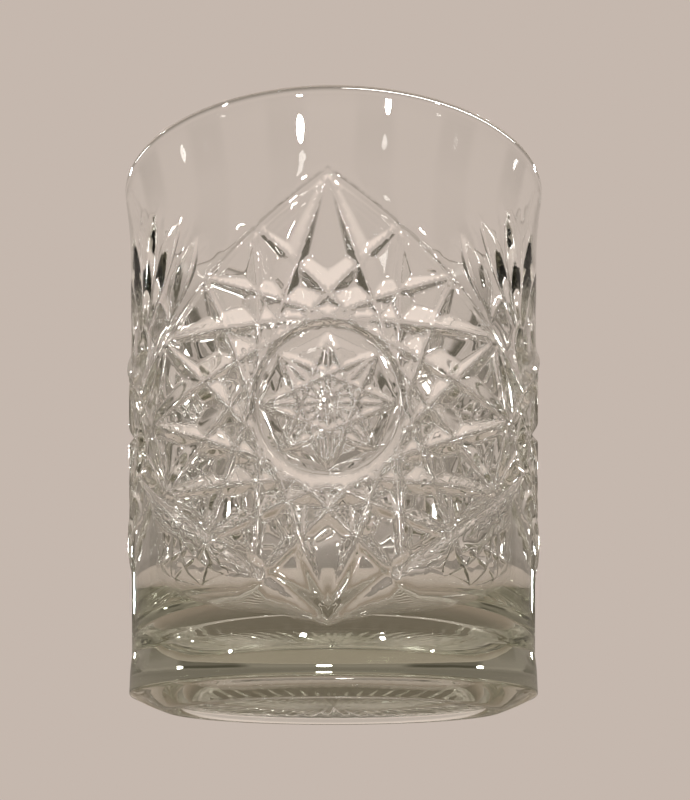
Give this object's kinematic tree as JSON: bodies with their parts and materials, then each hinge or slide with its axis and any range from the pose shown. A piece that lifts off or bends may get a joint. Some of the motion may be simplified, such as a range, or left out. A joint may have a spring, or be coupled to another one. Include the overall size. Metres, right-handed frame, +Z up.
{
  "type": "whiskey tumbler",
  "caption": "Slightly tapered pressed glass tumbler with a heavy base, a plain drinking rim and star rosette relief round its wall.",
  "frame": {"origin": "centre of the circle that the foot ring stands on", "axes": "+Z up the axis of the glass to the lip; -Y out through the middle of star panel 1"},
  "size_m": [0.0858, 0.0858, 0.1044],
  "materials": {
    "glass": "clear fire polished soda lime glass, faint grey green in its thick parts"
  },
  "bodies": {
    "root": {"base": "glass", "foot_ring": "glass", "wall": "glass", "rim_band": "glass", "star_panel_1": "glass", "star_panel_2": "glass", "star_panel_3": "glass", "star_boss_1": "glass", "star_boss_2": "glass", "star_boss_3": "glass", "fan_1": "glass", "fan_2": "glass", "fan_3": "glass", "side_column_1": "glass", "side_column_2": "glass", "side_column_3": "glass"}
  },
  "joints": []
}
